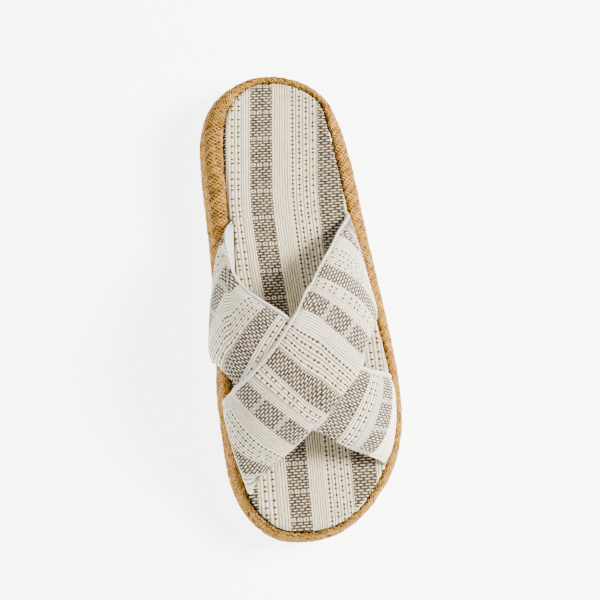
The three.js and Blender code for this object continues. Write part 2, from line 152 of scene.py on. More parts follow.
def outline(count):
    """Platform outline at even steps from the heel tip up the medial side, and the way inward."""
    inner = OUTLINE[:, [1, 0]] * (BALL_WIDTH, LENGTH)
    outer = OUTLINE[1:-1][::-1][:, [2, 0]] * (BALL_WIDTH, LENGTH)
    loop = catmull(np.vstack([inner, outer]), OUTLINE_STEPS, True)
    toe = (len(inner) - 1) * OUTLINE_STEPS
    halves = []
    for run in (loop[:toe + 1], np.vstack([loop[toe:], loop[:1]])):
        far = np.concatenate([[0], np.cumsum(np.linalg.norm(np.diff(run, axis=0), axis=1))])
        at = np.linspace(0, far[-1], count // 2 + 1)[:-1]
        halves.append(np.stack([np.interp(at, far, run[:, k]) for k in (0, 1)], 1))
    loop = np.vstack(halves)
    way = np.roll(loop, -1, 0) - np.roll(loop, 1, 0)
    return loop, unit(np.stack([-way[:, 1], way[:, 0]], 1))


def rim_height(along):
    return PLATFORM_HEIGHT * read(RIM, HEIGHT, along)


def rim_width(along, medial):
    return RIM_WIDTH * np.where(medial, read(RIM, MEDIAL, along), read(RIM, LATERAL, along))


def footbed_edge(along):
    return rim_height(along) + FOOTBED_PROUD * read(RIM, PROUD, along)


FINE = 720
LOOP, INWARD = outline(FINE)
IS_MEDIAL = np.arange(FINE) <= FINE // 2
FOOTBED = LOOP + INWARD * rim_width(LOOP[:, 1] / LENGTH, IS_MEDIAL)[:, None]
MEDIAL_RUN = FOOTBED[:FINE // 2 + 1]
LATERAL_RUN = np.vstack([FOOTBED[:1], FOOTBED[FINE // 2:][::-1]])
# From the tables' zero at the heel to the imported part's zero
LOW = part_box("midsole")[0]
SHIFT = np.array([LOW.x / MM - LOOP[:, 0].min(), LOW.y / MM - LOOP[:, 1].min(), 0])


def footbed_side(y, medial):
    run = MEDIAL_RUN if medial else LATERAL_RUN
    return np.interp(y, run[:, 1], run[:, 0])


def swell(value, start, end):
    t = np.clip((value - start) / (end - start), 0, 1)
    return np.sin(np.pi * t) ** 2


def footbed_top(x, y):
    along = y / LENGTH
    medial, lateral = footbed_side(y, True), footbed_side(y, False)
    across = np.clip((x - (medial + lateral) / 2) / np.maximum((medial - lateral) / 2, 1), -1, 1)
    dish = HEEL_CUP * swell(along, *DISH_RUN) * (1 - across ** 2)
    arch = ARCH_RISE * swell(along, *ARCH_RUN) * np.maximum(across, 0) * (1 - across ** 4)
    return footbed_edge(along) - dish + arch


def instep(around, y):
    """Point of the form that both straps lie on: around is 0 at the medial edge, 1 at the lateral."""
    along = y / LENGTH
    angle = np.pi * around
    spread = np.sign(np.cos(angle)) * np.abs(np.cos(angle)) ** (2 / ARCH_POWER)
    rise = np.abs(np.sin(angle)) ** (2 / ARCH_POWER)
    medial, lateral = footbed_side(y, True), footbed_side(y, False)
    half = (medial - lateral) / 2
    belly = np.where(spread > 0, read(INSTEP, MEDIAL, along), read(INSTEP, LATERAL, along))
    height = INSTEP_HEIGHT * read(INSTEP, HEIGHT, along) * rise
    pinch = np.clip(1 - height / BELLY_RISE, 0, 1) ** 2
    x = (medial + lateral) / 2 + half * (belly * spread - np.sign(spread) * (belly - 1) * pinch)
    return np.stack([x, y, footbed_edge(along) + height], -1)


def smooth(low, high, value):
    t = np.clip((value - low) / (high - low), 0, 1)
    return t * t * (3 - 2 * t)


def strap_face(strap, lifted, around, across):
    """Point of a strap's outer face, and the direction out of it."""
    def base(around, across):
        back, front = read(strap, BACK, around) * LENGTH, read(strap, FRONT, around) * LENGTH
        return instep(around, back + (front - back) * across)
    small = 0.004
    point = base(around, across)
    after, before = np.clip(around + small, 0.001, 1), np.clip(around - small, 0, 0.999)
    onward = base(after, across) - base(before, across)
    forward = base(around, across + small) - base(around, across - small)
    out = unit(np.cross(forward, onward))
    if lifted:
        y = point[..., 1]
        back = read(UNDER_STRAP, BACK, around) * LENGTH
        front = read(UNDER_STRAP, FRONT, around) * LENGTH
        inside = np.minimum(y - back, front - y)
        lift = (STRAP_THICKNESS - STRAP_FUSE) * smooth(-STRAP_RAMP, 0, inside)
        flat = unit(np.stack([out[..., 0], 0 * y, out[..., 2]], -1))
        point = point + flat * lift[..., None]
    return point, out


# Numbers that are either arrays here or sockets of a material, so one pattern serves both
class Val:
    def __init__(self, tree, socket):
        self.tree = tree
        self.socket = socket

    def __add__(self, other):
        return call("ADD", self, other)

    def __radd__(self, other):
        return call("ADD", other, self)

    def __sub__(self, other):
        return call("SUBTRACT", self, other)

    def __rsub__(self, other):
        return call("SUBTRACT", other, self)

    def __mul__(self, other):
        return call("MULTIPLY", self, other)

    def __rmul__(self, other):
        return call("MULTIPLY", other, self)

    def __truediv__(self, other):
        return call("DIVIDE", self, other)


ARRAY_OPS = {
    "FLOOR": np.floor,
    "FRACT": lambda x: x - np.floor(x),
    "ABSOLUTE": np.abs,
    "MINIMUM": np.minimum,
    "MAXIMUM": np.maximum,
    "POWER": np.power,
    "FLOORED_MODULO": np.mod,
    "LESS_THAN": lambda a, b: (a < b) * 1.0,
    "GREATER_THAN": lambda a, b: (a > b) * 1.0,
}


def call(operation, *values):
    owner = next((v for v in values if isinstance(v, Val)), None)
    if owner is None:
        return ARRAY_OPS[operation](*values)
    node = owner.tree.nodes.new("ShaderNodeMath")
    node.operation = operation
    for socket, value in zip(node.inputs, values):
        if isinstance(value, Val):
            owner.tree.links.new(value.socket, socket)
        else:
            socket.default_value = value
    return Val(owner.tree, node.outputs[0])


def ramp(low, high, value):
    """Smooth step from 0 at low to 1 at high."""
    if not isinstance(value, Val):
        return smooth(low, high, value)
    node = value.tree.nodes.new("ShaderNodeMapRange")
    node.interpolation_type = "SMOOTHSTEP"
    node.inputs["From Min"].default_value, node.inputs["From Max"].default_value = low, high
    value.tree.links.new(value.socket, node.inputs["Value"])
    return Val(value.tree, node.outputs["Result"])


def blend(a, b, share):
    return a + (b - a) * share


def fract(x):
    return call("FRACT", x)


def floor(x):
    return call("FLOOR", x)


def absolute(x):
    return call("ABSOLUTE", x)


def least(a, b):
    return call("MINIMUM", a, b)


def most(a, b):
    return call("MAXIMUM", a, b)


def modulo(a, b):
    return call("FLOORED_MODULO", a, b)


def between(x, low, high):
    return call("GREATER_THAN", x, low) * call("LESS_THAN", x, high)


def reach(x, y):
    """Distance of a place from zero."""
    return call("POWER", call("POWER", x, 2.0) + call("POWER", y, 2.0), 0.5)


# Striped cloth in millimetres, u across the stripes and v along them
REPEAT = 63.0
# Start and end of the two dark stripes
BASKETS = ((0.0, 12.4), (37.8, 49.8))
# Place across the cloth of each column of dots, and their places in each BAND
DOT_RUNS = (
    (23.9, (0.0, 2.3, 4.6, 7.6, 9.9, 12.2)),
    (27.7, (0.0, 2.2, 5.4, 7.6, 11.2)),
    (31.5, (1.4, 3.6, 6.8, 9.0, 12.6)),
    (35.3, (0.4, 2.6, 6.2, 10.6)),
    (53.0, (0.0, 3.7, 6.1, 11.3)),
    (56.6, (0.0, 3.7, 6.1, 11.3)),
)
BAND = 15.2
BED_ROW = 1.52
STRAP_ROW = 1.385
PITCH = 3.6
RIB = 1.42
WIDE_RIB = 1.9
RIBS_START = BASKETS[0][1]
WIDE_RIBS_START = DOT_RUNS[0][0]
DOTTED = ((22.2, 37.8), (51.6, 58.4))
# Distances in mm at which a mask is still 0 and already 1
DASH = (1.40, 1.00)
RING_OUTSIDE = (1.60, 1.20)
RING_INSIDE = (0.42, 0.72)
RING_ROW = (1.1, 0.8)
DOT_LONG = (0.66, 0.36)
DOT_WIDE = (0.72, 0.42)
TAIL_LONG = (0.36, 0.16)
TAIL_WIDE = (1.35, 0.9)
TAIL_SHARE = 0.6
THREAD_FADE = 0.24
# Relief of the ribs in the meshes: the height that stays level, and the full depth in mm
RIB_LEVEL = 0.6
RIB_RELIEF = 0.24


def basket(u, v, row, thick):
    """White threads of the dark stripes: short dashes, staggered like bricks."""
    phase = modulo(floor(v / row), 2.0) * (PITCH / 2)
    x = absolute(modulo(u + phase, PITCH) - PITCH / 2)
    y = absolute(fract(v / row) - 0.5) * row
    return ramp(*DASH, x) * ramp(thick, thick - THREAD_FADE, y)


def rings(u, v):
    """Row of white rings in each BAND of the cloth, and the place of that row."""
    x = absolute(modulo(u, PITCH) - PITCH / 2)
    y = absolute(modulo(v, BAND) - BAND / 2)
    away = reach(x, y)
    return ramp(*RING_OUTSIDE, away) * ramp(*RING_INSIDE, away), ramp(*RING_ROW, y)


def dot_columns(place, v):
    """Dark dots of the ribbed stripes, each with a short tail to both sides."""
    total = None
    for column, stops in DOT_RUNS:
        near = None
        for stop in stops:
            gap = absolute(modulo(v - (stop - BAND / 2), BAND) - BAND / 2)
            near = gap if near is None else least(near, gap)
        aside = absolute(place - column)
        dot = ramp(*DOT_LONG, near) * ramp(*DOT_WIDE, aside)
        tail = ramp(*TAIL_LONG, near) * ramp(*TAIL_WIDE, aside) * TAIL_SHARE
        total = most(dot, tail) if total is None else total + most(dot, tail)
    return total


def cloth(u, v, on_strap):
    """Masks of the cloth: dark stripes, their white threads, grooves between ribs, and dots."""
    place = modulo(u, REPEAT)
    first, second = (between(place, *stripe) for stripe in BASKETS)
    dark = first + second
    ring, ringed = rings(place, v)
    if on_strap:
        threads = most(basket(place, v, STRAP_ROW, 0.42), ringed * first * 0.4)
    else:
        threads = blend(basket(place, v, BED_ROW, 0.40), ring * 0.85, ringed * first)
    dotted = between(place, *DOTTED[0]) + between(place, *DOTTED[1])
    ribs = absolute(fract((place - RIBS_START) / RIB) - 0.5) * 2.0
    wide = absolute(fract((place - WIDE_RIBS_START) / WIDE_RIB) - 0.5) * 2.0
    ridge = blend(ribs, wide, dotted)
    groove = ramp(0.36, 0.86, ridge) * (1.0 - dark)
    return dark, threads, groove, dot_columns(place, v)


def rib_height(u, v, on_strap):
    """Height of the ribs that the meshes carry, near 0 in the grooves and 1 on the ridges."""
    dark, threads, groove, dots = cloth(u, v, on_strap)
    return (1 - dark) * (1 - 0.9 * groove) * (1 - 0.5 * dots) + dark * (0.3 + 0.5 * threads)


# Plaited fibre: flat tiles on the bias between thin cords, every other long cord a light one; the light
# tone of the long cords and knots is partly painted highlight
CELL = 3.0
# Place of the hole from the two cords beside it
HOLE_PLACE = (0.52, 0.62)
STRAND_PITCH = 0.62


def weave(s, t):
    """Masks of the plait (tile dome, long and short cords, light long cords, knots, holes) and its axes."""
    p, q = (s + t) * math.sqrt(0.5), (s - t) * math.sqrt(0.5)
    a = (absolute(fract(p / CELL) - 0.5)) * CELL
    b = (absolute(fract(q / CELL) - 0.5)) * CELL
    edge_a, edge_b = CELL / 2 - a, CELL / 2 - b
    dome = ramp(0.10, 1.00, least(edge_a, edge_b))
    long_cord = ramp(0.50, 0.20, edge_b)
    short_cord = ramp(0.38, 0.14, edge_a)
    light = ramp(0.9, 1.1, absolute(modulo(q / CELL + 0.5, 2.0) - 1.0) * 2.0)
    knot = ramp(1.0, 0.25, edge_a) * ramp(0.80, 0.25, edge_b)
    hole = ramp(0.58, 0.26, reach(edge_a - HOLE_PLACE[0], edge_b - HOLE_PLACE[1]))
    return dome, long_cord, short_cord, light, knot, hole, p, q


# Linear colours, set for the AgX view
BROWN = ((0.038, 0.028, 0.020), (0.100, 0.077, 0.056))
THREAD = ((0.62, 0.57, 0.49), (0.84, 0.80, 0.72))
CREAM = ((0.90, 0.86, 0.74), (0.80, 0.74, 0.59))
# Groove lines between the ribs: partly the cloth's beige lines, partly painted shade in the grooves
GROOVE_TONE_AND_SHADE = ((0.26, 0.20, 0.115), (0.12, 0.085, 0.045))
DOT = (0.030, 0.020, 0.012)
PLAIN_BAND = (0.84, 0.80, 0.69)
STRAP_TINT = (0.93, 0.91, 0.84)
# Footbed cloth darker and warmer than the strap cloth: painted shade of the sunken footbed
BED_PAINTED_SHADE = (0.80, 0.76, 0.66)
LINING_TONES = ((0.58, 0.55, 0.49), (0.46, 0.43, 0.38))
FOAM_TONES = ((0.86, 0.82, 0.70), (0.80, 0.75, 0.62))
TILE = ((0.17, 0.068, 0.0065), (0.50, 0.250, 0.040))
# Painted shade in the gaps between the fibre strands of each tile
STRAND_GAP_SHADE = (0.070, 0.024, 0.002)
SHORT_CORD = (0.52, 0.27, 0.055)
# Long cords, dark and light tone; the light tone, also laid on the knots, is partly painted highlight
LONG_CORD_AND_HIGHLIGHT = ((0.36, 0.165, 0.024), (0.86, 0.58, 0.20))
# Painted shade along the tile edges beside the cords
CORD_RIM_SHADE = (0.075, 0.030, 0.004)
# Painted shade inside the holes of the plait
HOLE_SHADE = (0.022, 0.009, 0.003)
# Length in mm over which a rib's groove keeps its tone
RIB_TONE_RUN = 41.0


# Materials
def new_material(name, roughness, **settings):
    material = bpy.data.materials.new(name)
    material.use_nodes = True
    tree = material.node_tree
    shader = tree.nodes["Principled BSDF"]
    shader.inputs["Roughness"].default_value = roughness
    for key, value in settings.items():
        shader.inputs[key.replace("_", " ")].default_value = value
    return material, tree, shader


def uv_values(tree):
    node = tree.nodes.new("ShaderNodeUVMap")
    node.uv_map = "UVMap"
    split = tree.nodes.new("ShaderNodeSeparateXYZ")
    tree.links.new(node.outputs["UV"], split.inputs[0])
    return Val(tree, split.outputs[0]), Val(tree, split.outputs[1])


def attribute(tree, name):
    node = tree.nodes.new("ShaderNodeAttribute")
    node.attribute_name = name
    return Val(tree, node.outputs["Fac"])


def object_noise(tree, scale, detail=2.0):
    place = tree.nodes.new("ShaderNodeTexCoord")
    node = tree.nodes.new("ShaderNodeTexNoise")
    node.inputs["Scale"].default_value = scale
    node.inputs["Detail"].default_value = detail
    tree.links.new(place.outputs["Object"], node.inputs["Vector"])
    return Val(tree, node.outputs["Fac"])


def jitter(tree, scale, detail, size):
    """Noise about zero, as wide as size."""
    return (object_noise(tree, scale, detail) - 0.5) * size


def colour_mix(tree, first, second, share):
    """Mix of two colours; each is a colour tuple or a socket."""
    node = tree.nodes.new("ShaderNodeMix")
    node.data_type = "RGBA"
    for socket, value in ((node.inputs[6], first), (node.inputs[7], second)):
        if isinstance(value, tuple):
            socket.default_value = (*value, 1)
        else:
            tree.links.new(value, socket)
    tree.links.new(share.socket, node.inputs[0])
    return node.outputs[2]


def add_bump(tree, shader, height, distance):
    node = tree.nodes.new("ShaderNodeBump")
    node.inputs["Strength"].default_value = 1.0
    node.inputs["Distance"].default_value = distance
    tree.links.new(height.socket, node.inputs["Height"])
    tree.links.new(node.outputs["Normal"], shader.inputs["Normal"])


def cell_value(tree, *numbers):
    """Random number from 0 to 1, one for each whole-number place."""
    join = tree.nodes.new("ShaderNodeCombineXYZ")
    for number, socket in zip(numbers, join.inputs):
        tree.links.new(floor(number).socket, socket)
    node = tree.nodes.new("ShaderNodeTexWhiteNoise")
    tree.links.new(join.outputs[0], node.inputs["Vector"])
    return Val(tree, node.outputs["Value"])


def cloth_material(name, tint_and_shade, on_strap):
    material, tree, shader = new_material(name, 0.95, Specular_IOR_Level=0.05)
    u, v = uv_values(tree)
    plain = attribute(tree, "plain")
    u = u + jitter(tree, 620.0, 1.0, 0.45)
    v = v + jitter(tree, 590.0, 1.0, 0.35)
    dark, threads, groove, dots = cloth(u, v, on_strap)
    tone = object_noise(tree, 330.0, 3.0)
    rib_tone = cell_value(tree, (u - RIBS_START) / RIB, v / RIB_TONE_RUN)
    brown = colour_mix(tree, *BROWN, ramp(0.35, 0.68, tone))
    thread_colour = colour_mix(tree, *THREAD, ramp(0.3, 0.6, tone))
    basket_colour = colour_mix(tree, brown, thread_colour, threads * 0.96)
    cream = colour_mix(tree, *CREAM, ramp(0.35, 0.75, tone))
    # Groove colour: partly the cloth's own tone, partly painted shade in the grooves
    groove_tone_and_shade = colour_mix(tree, *GROOVE_TONE_AND_SHADE, rib_tone)
    ribbed = colour_mix(tree, cream, groove_tone_and_shade, groove * 0.92)
    ribbed = colour_mix(tree, ribbed, DOT, least(dots, 1.0))
    patterned = colour_mix(tree, ribbed, basket_colour, dark)
    base = colour_mix(tree, patterned, PLAIN_BAND, plain)
    # Multiplies by the tint; for the footbed this darkening is painted shade
    tinted_and_shaded = tree.nodes.new("ShaderNodeMix")
    tinted_and_shaded.data_type = "RGBA"
    tinted_and_shaded.blend_type = "MULTIPLY"
    tinted_and_shaded.inputs[0].default_value = 1
    tinted_and_shaded.inputs[7].default_value = (*tint_and_shade, 1)
    tree.links.new(base, tinted_and_shaded.inputs[6])
    tree.links.new(tinted_and_shaded.outputs[2], shader.inputs["Base Color"])
    grain = object_noise(tree, 1900.0, 2.0)
    relief = (1.0 - dark) * (1.0 - groove) * 0.6 + dark * threads * 0.9 - dots * 0.8
    add_bump(tree, shader, relief * (1.0 - plain) + grain * 0.35, 0.00025)
    return material


def mottled_material(name, roughness, tones, tone_scale, tone_top, grain, depth, **settings):
    """Plain material of two tones with a fine grain."""
    material, tree, shader = new_material(name, roughness, **settings)
    tone = object_noise(tree, tone_scale, 3.0)
    base = colour_mix(tree, *tones, ramp(0.35, tone_top, tone))
    tree.links.new(base, shader.inputs["Base Color"])
    add_bump(tree, shader, object_noise(tree, *grain), depth)
    return material


def cord_gap(place):
    """Distance to the nearest cord that runs at whole cells of this place."""
    return CELL / 2 - absolute(fract(place / CELL) - 0.5) * CELL


def fibre_material():
    material, tree, shader = new_material("plaited_fibre", 0.8, Specular_IOR_Level=0.08)
    s, t = uv_values(tree)
    s = s + jitter(tree, 150.0, 2.0, 1.6)
    t = t + jitter(tree, 170.0, 2.0, 1.3)
    dome, long_cord, short_cord, light, knot, hole, p, q = weave(s, t)
    tile = cell_value(tree, p / CELL, q / CELL)
    drift = object_noise(tree, 45.0, 3.0)
    base = colour_mix(tree, *TILE, tile * 0.75 + ramp(0.3, 0.7, drift) * 0.25)
    strands = absolute(fract(p / STRAND_PITCH + object_noise(tree, 400.0, 1.0) * 0.8) - 0.5) * 2.0
    # Painted shade in the gaps between strands
    base = colour_mix(tree, base, STRAND_GAP_SHADE, ramp(0.55, 1.0, strands) * dome * 0.6)
    base = colour_mix(tree, base, SHORT_CORD, short_cord * (0.35 + 0.5 * light))
    # Cord colour, lighter on light cords and knots: partly painted highlight
    cord = colour_mix(tree, *LONG_CORD_AND_HIGHLIGHT, light * 0.45 + knot * 0.6)
    seen = ramp(0.30, 0.55, tile + knot * 0.4)
    share = most(long_cord * (0.3 + 0.25 * light) * seen, knot * (0.35 + 0.35 * light))
    base = colour_mix(tree, base, cord, share)
    # Painted shade where the tiles dip beside the cords
    rim = ramp(0.75, 0.30, least(cord_gap(p), cord_gap(q))) * (1.0 - most(long_cord, short_cord))
    base = colour_mix(tree, base, CORD_RIM_SHADE, rim * 0.25)
    # Painted shade in the open holes of the plait
    shaded_holes = hole * ramp(0.38, 0.56, object_noise(tree, 240.0, 1.0))
    base = colour_mix(tree, base, HOLE_SHADE, shaded_holes)
    tree.links.new(base, shader.inputs["Base Color"])
    relief = dome * 0.5 + strands * dome * -0.25 + long_cord * 0.7 + short_cord * 0.4 - hole * 1.2
    add_bump(tree, shader, relief + object_noise(tree, 1500.0, 2.0) * 0.3, 0.00042)
    return material


CLOTH = cloth_material("strap_cloth", STRAP_TINT, True)
# Darker copy of the cloth for the footbed: painted shade
SHADED_BED_CLOTH = cloth_material("footbed_cloth", BED_PAINTED_SHADE, False)
LINING = mottled_material("plain_lining", 0.95, LINING_TONES, 90.0, 0.75, (1600.0, 3.0), 0.00012,
                          Specular_IOR_Level=0.05)
FIBRE = fibre_material()
FOAM = mottled_material("outsole_foam", 0.5, FOAM_TONES, 60.0, 0.7, (1200.0, 2.0), 0.00005)

# Node that each material slot stands for
NODE_OF = {"outsole_foam": "outsole", "plaited_fibre": "midsole", "footbed_fabric": "insole",
           "strap_fabric": "upper"}


# Meshes
def grid_mesh(name, points, material, slot, uv=None, closed=False, flip=False, plain=None):
    """Piece from a grid of points in mm (rows x columns); uv has one more row where rows close."""
    n, m = points.shape[:2]
    rows = n if closed else n - 1
    i, j = (a.ravel() for a in np.meshgrid(np.arange(rows), np.arange(m - 1), indexing="ij"))
    corners = [(i, j), (i + 1, j), (i + 1, j + 1), (i, j + 1)]
    if flip:
        corners = corners[::-1]
    quads = np.stack([(a % n) * m + b for a, b in corners], 1)
    mesh = bpy.data.meshes.new(name)
    mesh.vertices.add(n * m)
    mesh.vertices.foreach_set("co", ((points.reshape(-1, 3) + SHIFT) * MM).astype(np.float32).ravel())
    mesh.loops.add(quads.size)
    mesh.loops.foreach_set("vertex_index", quads.astype(np.int32).ravel())
    mesh.polygons.add(len(quads))
    mesh.polygons.foreach_set("loop_start", (np.arange(len(quads)) * 4).astype(np.int32))
    mesh.polygons.foreach_set("use_smooth", np.ones(len(quads), bool))
    if uv is not None:
        layer = mesh.uv_layers.new(name="UVMap")
        flat = np.stack([uv[a, b] for a, b in corners], 1)
        layer.data.foreach_set("uv", flat.astype(np.float32).ravel())
    if plain is not None:
        marks = mesh.attributes.new("plain", "FLOAT", "POINT")
        marks.data.foreach_set("value", plain.astype(np.float32).ravel())
    mesh.update(calc_edges=True)
    mesh.validate()
    mesh.materials.append(material)
    piece = bpy.data.objects.new(name, mesh)
    bpy.context.scene.collection.objects.link(piece)
    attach(piece, "root")
    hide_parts(NODE_OF[slot])
    return piece


def grid_normals(points):
    """Directions out of a grid whose rows close."""
    down = np.roll(points, -1, 0) - np.roll(points, 1, 0)
    return unit(np.cross(down, np.gradient(points, axis=1)))


def value_noise(shape, cells, seed):
    """Smooth noise from -1 to 1 over a grid."""
    coarse = np.random.default_rng(seed).uniform(-1, 1, (cells[0] + 2, cells[1] + 2))
    x, y = np.linspace(0, cells[0], shape[0]), np.linspace(0, cells[1], shape[1])
    i, j = np.minimum(x.astype(int), cells[0] - 1), np.minimum(y.astype(int), cells[1] - 1)
    fx, fy = smooth(0, 1, x - i)[:, None], smooth(0, 1, y - j)[None, :]
    top = coarse[np.ix_(i, j)] * (1 - fx) + coarse[np.ix_(i + 1, j)] * fx
    bottom = coarse[np.ix_(i, j + 1)] * (1 - fx) + coarse[np.ix_(i + 1, j + 1)] * fx
    return top * (1 - fy) + bottom * fy


def profile_shell(rows, count, spread):
    """Rings of (inset, z) rows around the outline, drawn as one smooth profile."""
    loop, inward = outline(count)
    along = loop[:, 1] / LENGTH
    medial = np.arange(count) <= count // 2
    nodes = np.stack([np.stack(np.broadcast_arrays(*row(along, medial)), -1) for row in rows])
    fine = catmull(nodes, 12, False)
    step = np.linalg.norm(np.diff(fine, axis=0), axis=-1).mean(1)
    far = np.concatenate([[0], np.cumsum(step)])
    at = np.linspace(0, far[-1], int(far[-1] / spread))
    j = np.clip(np.searchsorted(far, at) - 1, 0, len(far) - 2)
    w = ((at - far[j]) / (far[j + 1] - far[j]))[:, None, None]
    profile = fine[j] * (1 - w) + fine[j + 1] * w
    flat = loop[None] + inward[None] * profile[..., :1]
    points = np.concatenate([flat, profile[..., 1:]], -1).transpose(1, 0, 2)
    around = np.concatenate([[0], np.cumsum(np.linalg.norm(np.roll(loop, -1, 0) - loop, axis=1))])
    return points, around, at


def wall_row(inset, up):
    def row(along, medial):
        rise = rim_height(along) - RIM_ROUNDING - OUTSOLE_THICKNESS
        return PLATFORM_FOOT * inset + 0 * along, OUTSOLE_THICKNESS + rise * up
    return row


def rim_row(turn):
    def row(along, medial):
        start = PLATFORM_FOOT * WALL[-1, 0]
        crest = np.maximum(start, rim_width(along, medial) - FIT - TRAY_LIP)
        angle = turn * math.pi / 2
        return (start + (crest - start) * (1 - math.cos(angle)),
                rim_height(along) - RIM_ROUNDING * (1 - math.sin(angle)))
    return row


def lip_row(back, down):
    def row(along, medial):
        return rim_width(along, medial) - FIT - back, rim_height(along) - down
    return row


def slab_row(inset, up):
    def row(along, medial):
        return OUTSOLE_INSET + inset + 0 * along, up + 0 * along
    return row


def make_wrap():
    """Fibre around the platform, from the outsole over the rim and down into the tray."""
    rows = [wall_row(*row) for row in WALL] + [rim_row(turn) for turn in (0.3, 0.6, 0.85, 1.0)]
    rows += [lip_row(0.5, 0.5), lip_row(0, TRAY_LIP), lip_row(0, TRAY_LIP + 2.6)]
    points, around, up = profile_shell(rows, 1180, 0.56)
    diagonal = CELL * math.sqrt(2)
    cells = 2 * round(around[-1] / diagonal / 2)
    s = around * cells * diagonal / around[-1]
    uv = np.stack(np.meshgrid(s, up, indexing="ij"), -1)
    dome, long_cord, _, light, _, hole, _, _ = weave(uv[:-1, :, 0], uv[:-1, :, 1])
    lump = value_noise(dome.shape, (230, 15), 3) + 0.6 * value_noise(dome.shape, (90, 5), 4)
    relief = dome * 0.42 + long_cord * (0.25 + 0.25 * light) - hole * 0.5 - 0.3 + lump * 0.24
    points = points + grid_normals(points) * relief[..., None]
    grid_mesh("platform_wrap", points, FIBRE, "plaited_fibre", uv, closed=True, flip=True)


def make_outsole():
    """Foam slab, closed above and below onto a line along its middle."""
    rounding = [(OUTSOLE_EDGE * (1 - math.sin(turn)), OUTSOLE_EDGE * (1 - math.cos(turn)))
                for turn in (0, math.pi / 6, math.pi / 3, math.pi / 2)]
    shape = [(30, 0), (6, 0)] + rounding
    shape += [(0, 4.5), (0, 7.4), (0.6, OUTSOLE_THICKNESS), (6, OUTSOLE_THICKNESS), (30, OUTSOLE_THICKNESS)]
    points, _, _ = profile_shell([slab_row(*row) for row in shape], 480, 0.9)
    spine = points[:, :1].copy()
    spine[:, 0, 0] = (points[:, 0, 0] + points[::-1, 0, 0]) / 2
    spine[:, 0, 1] = np.clip(points[:, 0, 1], SPINE_END, LENGTH - SPINE_END)
    top = spine + np.array([0, 0, OUTSOLE_THICKNESS])
    points = np.concatenate([spine, points, top], 1)
    grid_mesh("outsole_slab", points, FOAM, "outsole_foam", closed=True, flip=True)


# How far the footbed's cloth reaches into the strap ends
STRAP_OVERLAP = 0.5
# Distance of the slab's closing line from the heel and the toe
SPINE_END = 36
# Medial edge of the first dark stripe on the footbed: along, x in mm, stretch beside it
STRIPE = np.array([(0.03, 17.7, 1.00, 1.00), (0.18, 21.2, 1.00, 1.00), (0.30, 23.4, 1.00, 1.00),
                   (0.42, 22.2, 1.01, 0.97), (0.51, 20.3, 1.02, 0.94), (0.81, 17.0, 1.05, 0.85),
                   (1.00, 16.7, 1.06, 0.80)])


def edge_distance(points, edge):
    """Distance of each point in plan from the closed edge."""
    out = np.empty(len(points))
    for start in range(0, len(points), 4000):
        part = points[start:start + 4000, None, :2] - edge[None]
        out[start:start + 4000] = np.sqrt((part ** 2).sum(-1)).min(1)
    return out


def strap_room(along, medial):
    """How far the footbed's edge is held in by the strap ends beside it."""
    room = 0 * along
    for strap in (OVER_STRAP, UNDER_STRAP):
        for end, side in ((strap[0], True), (strap[-1], False)):
            start = smooth(end[BACK] - 0.016, end[BACK] - 0.006, along)
            inside = start * smooth(end[FRONT] + 0.016, end[FRONT] + 0.006, along)
            room = np.maximum(room, inside * (medial == side))
    return room * (STRAP_THICKNESS - STRAP_OVERLAP)


def make_footbed():
    """Padded footbed and the cloth down its side; columns run from the lateral edge to the medial."""
    count, columns = 640, 290
    loop, inward = outline(count)
    medial = np.arange(count) <= count // 2
    along = loop[:, 1] / LENGTH
    edge = loop + inward * (rim_width(along, medial) + strap_room(along, medial))[:, None]
    right, left = edge[:count // 2 + 1], np.vstack([edge[:1], edge[count // 2:][::-1]])
    share = np.linspace(0, 1, columns)
    flat = left[:, None] * (1 - share[None, :, None]) + right[:, None] * share[None, :, None]
    dist = edge_distance(flat.reshape(-1, 2), catmull(edge, 3, True)).reshape(flat.shape[:2])
    x, y = flat[..., 0], flat[..., 1]
    a = y / LENGTH
    room = np.where(share[None] > 0.5, strap_room(a, True), strap_room(a, False))
    r = FOOTBED_ROUNDING + 0.6 - 0.85 * room
    gap = np.clip(r - dist, 0, r)
    z = footbed_top(x, y) - (r - np.sqrt(r * r - gap * gap))
    points = np.stack([x, y, z], -1)
    side = read(STRIPE, 1, a) - x
    u = side * np.where(side > 0, read(STRIPE, 2, a), read(STRIPE, 3, a))
    u = np.minimum(u, BASKETS[1][0] + (u - BASKETS[1][0]) * 0.84)
    uv = np.stack([u, y], -1)
    lump = value_noise(x.shape, (36, 12), 5) * 0.22
    relief = (rib_height(u, y, False) - RIB_LEVEL) * RIB_RELIEF + lump
    points[..., 2] += relief * smooth(0.1, 1.5, dist)
    cloth_piece = grid_mesh("footbed_cloth", points, SHADED_BED_CLOTH, "footbed_fabric", uv, plain=0 * x)
    ring = np.concatenate([points[:, -1], points[1:-1, 0][::-1]])
    drops = np.array([0, 1.0, 2.4, 4.4])
    wall = ring[:, None] - drops[None, :, None] * np.array([0, 0, 1.0])
    ring_uv = np.concatenate([uv[:, -1], uv[1:-1, 0][::-1], uv[:1, -1]])
    wall_uv = np.repeat(ring_uv[:, None], len(drops), 1) + drops[None, :, None] * np.array([0.6, 0])
    grid_mesh("footbed_side", wall, SHADED_BED_CLOTH, "footbed_fabric", wall_uv, closed=True, flip=True,
              plain=np.zeros(wall.shape[:2]))


